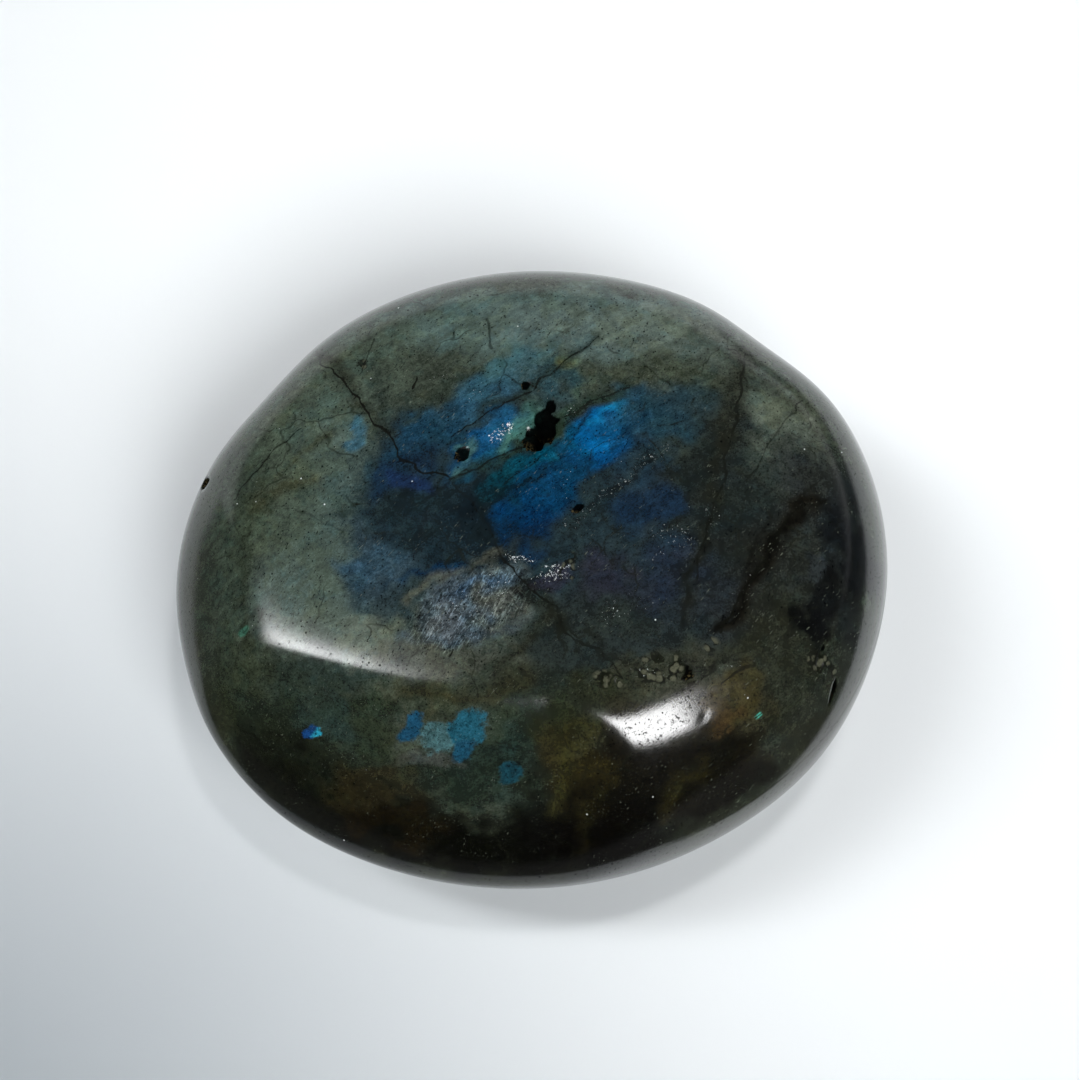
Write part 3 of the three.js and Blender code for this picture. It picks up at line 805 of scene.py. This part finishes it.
def tell(drawn):
    """Prints what was drawn, and how many nodes `tree` has by now."""
    print(drawn, "drawn,", len(tree.nodes), "nodes so far")


# %% Polished labradorite feldspar
feldspar = bpy.data.materials.new("polished labradorite feldspar")
feldspar.use_nodes = True
tree = feldspar.node_tree
tree.nodes.clear()
place = add("place")
painted = {
    name: add("painted", attribute_name=name).node.outputs
    for name in ("body", "patch", "crack", "pit", "texture", "damage_and_pit_shade")
}
tint = painted["body"]["Color"]
flashing, plate, glitter = add("split", painted["texture"]["Vector"]).node.outputs
crumbling, pitting, shaded_pit_depth = add("split", painted["damage_and_pit_shade"]["Vector"]).node.outputs
print(len(painted), "painted attributes read")

# %% Patterns that the markings share
LOW, HIGH = 0.35, 0.65  # a fractal noise seldom leaves this range


def mottling(size_mm, detail, rough):
    """A fractal noise with features of a real size, spread over the whole of 0 to 1."""
    return add("stretch", add("noise", place, per(size_mm), detail, rough), LOW, HIGH)


def swung(cloud, swing, middle):
    """A number that swings by `swing` about a middle as a noise goes from 0 to 1."""
    return add("times plus", add("minus", cloud, 0.5), swing, middle)


def strokes(heading, longer, size_mm, level):
    """Short strokes at a heading in degrees: a noise stretched along it, cut at a level."""
    turned = add("turned", place, (0, 0, math.radians(heading)), (longer, 1.0, 1.5))
    return add("step", add("noise", turned, per(size_mm), 2, 0.7), level, level + 0.05)


# %% [markdown]
# ## Grain
# Feldspar is mottled from blotches of a millimetre or two down to grains. Three fractal noises of
# real sizes darken and brighten the painted colour, less so where the stone is milky.

# %% Grain and mottling of the body
MOTTLE, GRIT, GRAIN = 1.5, 0.42, 0.13  # mm, from blotches down to grains
MILKY_FROM, MILKY_FULL, CALM = 0.04, 0.11, 0.50  # brightness, and how much calmer milk looks
mottle = mottling(MOTTLE, 5, 0.64)
grit = mottling(GRIT, 3, 0.72)
grain = mottling(GRAIN, 2, 0.7)
milky = add("step", add("brightness", tint), MILKY_FROM, MILKY_FULL)
calm = add("times plus", milky, -CALM, 1.0)
colour = add("dim", tint, swung(mottle, 0.55, 0.985))
colour = add("dim", colour, swung(grit, add("times", calm, 0.66), 0.99))
colour = add("dim", colour, swung(grain, add("times", calm, 0.60), 1.00))
OLIVE, TEAL = (1.08, 1.02, 0.85, 1), (0.82, 1.00, 1.10, 1)  # factors on red, green and blue
GLAZE = 0.55
olive = add("step", add("noise", place, per(2.6), 4, 0.66), 0.49, 0.58)
elsewhere = add("move", place, (0.2, 0, 0))
teal = add("step", add("noise", elsewhere, per(1.9), 4, 0.66), 0.50, 0.60)
for cloud, factors in ((olive, OLIVE), (teal, TEAL)):
    colour = add("glaze", add("times", cloud, GLAZE), colour, factors)
tell("grain and mottling")

# %% [markdown]
# ## Sheets and patches
# The sheets show as fine parallel streaks, strongest where the stone flashes. A noise squeezed
# across their heading draws them. The bright patches get their ragged borders from the grain.

# %% Sheets inside the feldspar
SHEETS = math.radians(36)  # heading of the sheets from X
SHEET_BANDS, SHEET_LINES = 0.45, 0.10  # mm across
sheet = add("turned", place, (0, 0, SHEETS), (9.0, 1.0, 3.0))
streak = add("noise", sheet, per(SHEET_BANDS), 4, 0.65)
thin = add("noise", sheet, per(SHEET_LINES), 3, 0.6)
colour = add("dim", colour, swung(streak, 1.1, 1.0))
colour = add("mix", add("times", flashing, 0.6), colour, add("dim", colour, swung(thin, 2.2, 1.0)))
edge = swung(mottle, 0.25, swung(grit, 0.35, painted["patch"]["Alpha"]))
hard = add("step", edge, 0.25, 0.80)
mottled = add("dim", painted["patch"]["Color"], swung(grit, 0.9, swung(grain, 0.5, 1.0)))
colour = add("mix", add("times", hard, 0.95), colour, mottled)
tell("sheets and patches")

# %% [markdown]
# ## The feather
# One broken plate lies near the middle like crumpled foil. A bent noise and short strokes along
# its creases give it strong contrast.

# %% The feather, a plate of crumpled sheets
CRUMPLE, CREASE = 0.42, 0.14  # mm
crumple = add("noise", place, per(CRUMPLE), 4, 0.7, 1.2)
foil = add("times plus", add("step", crumple, 0.38, 0.66), 0.95, 0.45)
foil = add("times plus", strokes(62, 4.0, CREASE, 0.55), 1.3, foil)
colour = add("mix", plate, colour, add("dim", colour, foil))
tell("feather")

# %% [markdown]
# ## Specks, fibres, crumbs and sparks
# Tiny dark inclusions are round cells or strokes, pale fibres are strokes, and crumbs are larger
# cells with black gaps. Sparks are the peaks of a fine noise. All are colour, since their relief
# would be too fine to see.


# %% Dark specks and scratches
def specks(size_mm, share, keep, seed):
    """Round specks: cells of a real size, of which a share have one, of that part of a cell."""
    moved = add("move", place, (seed, 0, 0))
    cells = add("cells", moved, per(size_mm)).node.outputs
    chosen = add("is less", add("red part", cells["Color"]), share)
    return add("times", chosen, add("step", cells["Distance"], keep, keep * 0.6))


dots = add("larger", specks(0.62, 0.28, 0.16, 0.1), specks(0.30, 0.24, 0.25, 0.4))
scratch = add("larger", strokes(63, 4.0, 0.11, 0.63), strokes(20, 5.0, 0.10, 0.66))
speckled = add("step", add("noise", place, per(0.30), 4, 0.75), 0.57, 0.61)
speckled = add("times", speckled, add("step", pitting, 0.15, 0.6))
dark = add("larger", add("larger", dots, scratch), speckled)
colour = add("mix", add("times", dark, 0.85), colour, paint("#040506"))
tell("dark specks and scratches")

# %% Pale fibres and crumbs
fibrous = add("step", add("noise", place, per(2.0), 3, 0.5), 0.42, 0.6)
fibre = add("times", strokes(48, 5.0, 0.11, 0.66), fibrous)
colour = add("mix", add("times", fibre, 0.5), colour, paint("#7b8172"))
CRUMB = 0.52  # mm
lumps = add("cells", place, per(CRUMB)).node.outputs
lump = add("step", add("times plus", grit, 0.26, lumps["Distance"]), 0.68, 0.42)
lump = add("times", lump, add("times plus", grain, 0.5, 0.6))
crumb_tone = add("mix", lump, paint("#10120c"), paint("#5c5d4c"))
chosen = add("is less", add("red part", lumps["Color"]), 0.62)
present = add("times", chosen, add("step", crumbling, 0.2, 0.8))
colour = add("mix", add("times", present, 0.85), colour, crumb_tone)
tell("fibres and crumbs")

# %% Sparks
# A fleck of the finest noise shines where it passes a limit, which is lower where it glitters.
fleck = add("noise", place, per(0.20), 3, 0.85)
limit = add("times plus", glitter, -0.215, 0.768)
spark = add("step", add("minus", fleck, limit), 0.0, 0.04)
spark = add("larger", spark, specks(1.5, 0.4, 0.044, 0.7))
colour = add("mix", add("times", spark, 0.9), colour, paint("#eef4f3"))
tell("sparks")

# %% [markdown]
# ## Veins, cracks and pits
# Thin veins follow the borders of large bent cells. Each crack is dark where the stored way back
# to it is short, with a width that wanders. A pit is painted black inside as its shade, with brown
# crumbs at one end.

# %% Fine veins
VEIN_CELLS, VEIN_BENDS, BEND = 5.0, 3.0, 3.5  # mm: mesh of the net, its bends, and how far they go
bends = add("noise", place, per(VEIN_BENDS), 2, 0.6).node.outputs["Color"]
moved = add("scale and move", bends, (BEND * MM,) * 3, place)
net = add("cells", moved, per(VEIN_CELLS), feature="DISTANCE_TO_EDGE")
veined = add("step", add("noise", place, per(3.2), 3, 0.5), 0.46, 0.62)
vein = add("times", add("step", net, 0.026, 0.004), veined)
colour = add("mix", add("times", vein, 0.6), colour, paint("#15170f"))
tell("veins")

# %% Cracks and pits
LEVEL = (1, 1, 0)  # keeps the first two numbers of a stored vector
far = add("length", add("scale each", painted["crack"]["Vector"], LEVEL))
strength = add("split", painted["crack"]["Vector"]).node.outputs[2]
width = add("times plus", add("noise", place, per(0.9), 4, 0.7), 0.22, -0.03)
line = add("times", add("step", add("over", far, width), 1.4, 0.4), strength)
colour = add("mix", add("times", line, 0.9), colour, paint("#0b0c07"))
reach = add("length", add("scale each", painted["pit"]["Vector"], LEVEL))
along, _, closeness = add("split", painted["pit"]["Vector"]).node.outputs
sound = add("step", add("larger", crumbling, pitting), 0.5, 0.2)
# Painted shade: the inside of each deep pit turns black, except where the stone is crumbly or pitted.
shaded_pit_inside = add("times", add("step", shaded_pit_depth, 0.03, 0.26), sound)
crumbs = add("step", add("noise", place, per(0.18), 3, 0.7), 0.50, 0.60)
crumbs = add("times", crumbs, add("step", along, -0.1, -0.7))
pit_shade_and_crumbs = add("mix", crumbs, paint("#020202"), paint("#4a4028"))
colour = add("mix", add("times", shaded_pit_inside, 0.97), colour, pit_shade_and_crumbs)
tell("cracks and pits")

# %% [markdown]
# ## Polish
# The polish is slightly uneven, so its roughness drifts a little, and a relief of a few hundredths
# of a millimetre breaks up the edges of what it mirrors. Pits and dark specks don't shine.

# %% Polish
INDEX, GLOSS = 1.56, 0.5  # index of feldspar, and the plain share of its reflection
RELIEF = 0.03  # mm, depth of the fine relief left by the tumbling
rough = add("times plus", add("noise", place, per(0.8), 3, 0.65), 0.14, 0.07)
round_pit = add("times", add("step", reach, 1.6, 1.15), add("step", closeness, 0.3, 0.6))
matt = add("larger", round_pit, add("times", dark, 0.9))
gloss = add("times plus", matt, -GLOSS, GLOSS)
height = add("times", grain, add("times plus", shaded_pit_inside, 2.5, 0.12))
height = add("times plus", thin, 0.3, height)
bump = add("bump", height, 0.3, RELIEF * MM)
add("surface", add("glossy", colour, rough, INDEX, gloss, bump))
stone.data.materials.append(feldspar)
print("material with", len(tree.nodes), "nodes")

# %% [markdown]
# ## The setting
# The stone lies on a matt white sheet, in soft daylight that is brighter at the right and behind.
# The sheet's shade towards the lower left is a wash of grey on the sheet. The camera looks down at
# the stone steeply from in front.


# %% Floor
def sheet_of(name, corners, quads, material):
    """Makes a flat or folded sheet from its corners in mm, with one material."""
    sheet_mesh = bpy.data.meshes.new(name)
    sheet_mesh.from_pydata((np.array(corners) * MM).tolist(), [], quads)
    sheet_mesh.materials.append(material)
    made = bpy.data.objects.new(name, sheet_mesh)
    bpy.context.scene.collection.objects.link(made)
    return made


def matt_skin(name):
    """A new matt material, with its shader."""
    material = bpy.data.materials.new(name)
    material.use_nodes = True
    skin = material.node_tree.nodes["Principled BSDF"]
    skin.inputs["Roughness"].default_value = 0.9
    return material, skin


REACH = 6000.0  # half the floor's width, mm
SHADE_AT, SHADE_REACH, SHADE = (-0.050, -0.048, 0), 0.085, 0.80  # m, m and share
paper, paper_skin = matt_skin("matt white paper")
tree = paper.node_tree
shade = add("step", add("distance", add("place"), SHADE_AT), SHADE_REACH, 0.0, 0.0, SHADE)
shaded = add("mix", shade, paint("#f5f8fa"), paint("#818c94"))
tree.links.new(shaded, paper_skin.inputs["Base Color"])
square = [(-REACH, -REACH, 0), (REACH, -REACH, 0), (REACH, REACH, 0), (-REACH, REACH, 0)]
floor = sheet_of("floor", square, [(0, 1, 2, 3)], paper)
floor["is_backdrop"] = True
print("floor of", 2 * REACH * MM, "m")

# %% [markdown]
# ## Dark surroundings
# Where the flank turns towards the viewer, polish mirrors what lies round the stone. The dark
# flanks show that this is dark in front and at both sides, and bright only behind. A black rim just
# above the sheet, with a low upright wall, stands for that dark: painted shade that only mirrors
# see. It's hidden from the camera and throws no shadow.

# %% Dark rim and wall
# Azimuth in degrees, distance in mm at which the dark begins.
DARK_FROM = [
    (-204, 110), (-196, 66), (-180, 54), (-160, 52), (-140, 46), (-115, 54), (-90, 48),
    (-60, 35), (-45, 34), (-20, 44), (0, 60), (15, 88), (37, 170), (66, 270),
]
WALL_AT, WALL_TOP, RIM_UP = 300.0, 50.0, 0.3  # mm from the stone, and above the table
azimuths = np.arange(-204, 67, 4.0)
inner = np.interp(azimuths, *np.array(DARK_FROM).T)
turn = np.radians(azimuths)
ringed = [
    np.stack([np.cos(turn) * radius, np.sin(turn) * radius, np.full(len(turn), height)], -1)
    for radius, height in ((inner, RIM_UP), (WALL_AT, RIM_UP), (WALL_AT, WALL_TOP))
]
count = len(azimuths)
corner = np.concatenate([np.arange(count - 1), np.arange(count - 1) + count])
strips = np.stack([corner, corner + 1, corner + count + 1, corner + count], -1)
# Painted shade for the polish to mirror: a dark sheet that no camera sees.
mirrored_shade, mirrored_shade_skin = matt_skin("mirrored shade")
mirrored_shade_skin.inputs["Base Color"].default_value = paint("#262626")
surroundings = sheet_of("dark_surroundings", np.concatenate(ringed), strips.tolist(), mirrored_shade)
surroundings.visible_camera = False
surroundings.visible_diffuse = False
surroundings.visible_shadow = False
surroundings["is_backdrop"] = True
print("dark rim and wall of", len(strips), "faces")

# %% [markdown]
# ## Windows and room
# Two windows are mirrored in the polish: a broad one on the front face and a long one along the
# left shoulder. They are bright panes of the world, with soft edges. The rest of the room is dim
# overhead and bright at the horizon.

# %% Sky of the room
world = bpy.data.worlds.new("room")
bpy.context.scene.world = world
world.use_nodes = True
tree = world.node_tree
tree.nodes.clear()
way = add("place").node.outputs["Generated"]
ROOM_DIM, ROOM_BRIGHT = 0.04, 0.85  # light from above and from the horizon
EDGE_UP, EDGE_TILT_X, EDGE_TILT_Y, EDGE_SOFT = 0.06, 0.04, 0.16, 0.08  # sines of elevations
sides = add("split", way).node.outputs
top_edge = add("times plus", sides[0], EDGE_TILT_X, EDGE_UP)
top_edge = add("times plus", sides[1], EDGE_TILT_Y, top_edge)
over = add("minus", sides[2], top_edge)
ring = add("step", over, -EDGE_SOFT, EDGE_SOFT, ROOM_BRIGHT, ROOM_DIM)


def pane(azimuth, elevation, side, rise, peak):
    """A bright pane at a direction. `side` and `rise` say where it begins, is whole, is whole
    no more and has ended, as sines of the angle from its middle."""
    strength = peak
    axes = ((facing(azimuth + 90, 0), side), (facing(azimuth, elevation + 90), rise))
    for axis, (begin, whole, fade, end) in axes:
        off = add("along", way, axis)
        for empty, full in ((begin, whole), (end, fade)):
            strength = add("times", add("step", off, empty, full), strength)
    toward = add("along", way, facing(azimuth, elevation))
    return add("times", add("is more", toward, 0), strength)


front = pane(-62, 47, (-0.30, -0.24, 0.22, 0.28), (-0.27, -0.22, 0.20, 0.30), 8.5)
left = pane(170, 53, (-0.20, -0.01, 0.045, 0.10), (-0.33, -0.12, 0.06, 0.40), 16.5)
light = add("plus", add("plus", ring, front), left)
add("sky", add("glow", paint("#fcfeff"), light))
tell("room and two panes")

# %% Lights
LAMP_FAR = 0.5  # m from what a lamp lights


def hang(name, kind, azimuth, elevation, power, aim=(0, 0)):
    """A lamp at a direction from the point of the table that it is aimed at."""
    light = bpy.data.lights.new(name, kind)
    light.energy = power
    lamp = bpy.data.objects.new(name, light)
    bpy.context.scene.collection.objects.link(lamp)
    target = Vector((*aim, 0))
    lamp.location = target + Vector(facing(azimuth, elevation)) * LAMP_FAR
    lamp.rotation_euler = (target - lamp.location).to_track_quat("-Z", "Y").to_euler()
    return lamp


# The first brightens the paper, and the polish doesn't mirror it. The second only strengthens
# the front pane in the polish, and lights nothing.
window = hang("window", "SPOT", 35, 85, 2.4, (0.036, 0.037))
window.visible_glossy = False
window.data.spot_size = math.radians(22)
window.data.spot_blend = 0.45
window.data.shadow_soft_size = 0.03
glass = hang("mirrored window", "AREA", -63.5, 48.5, 2.9)
glass.visible_diffuse = False
glass.data.shape = "RECTANGLE"
glass.data.size, glass.data.size_y = 0.24, 0.28
print("two lamps hung", LAMP_FAR, "m away")

# %% Camera
ELEVATION, FAR = 70.0, 0.181  # degrees above the table, m from the stone
LOOK_AT = Vector((0.0006, 0.0022, 0.0100))
camera = bpy.data.objects.new("camera", bpy.data.cameras.new("camera"))
camera.data.lens = 85
camera.data.clip_start = 0.01
bpy.context.scene.collection.objects.link(camera)
bpy.context.scene.camera = camera
camera.location = LOOK_AT + FAR * Vector(facing(-90, ELEVATION))
camera.rotation_euler = (LOOK_AT - camera.location).to_track_quat("-Z", "Y").to_euler()
bpy.context.scene.view_settings.view_transform = "Standard"
print("camera", FAR, "m away,", ELEVATION, "degrees up")

# %% [markdown]
# ## Sizes and the end
# The box of what is shown now is printed.

# %% Write the sizes and finish
low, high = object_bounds()
print("shown stone is", [round(v / MM, 2) for v in high - low], "mm")
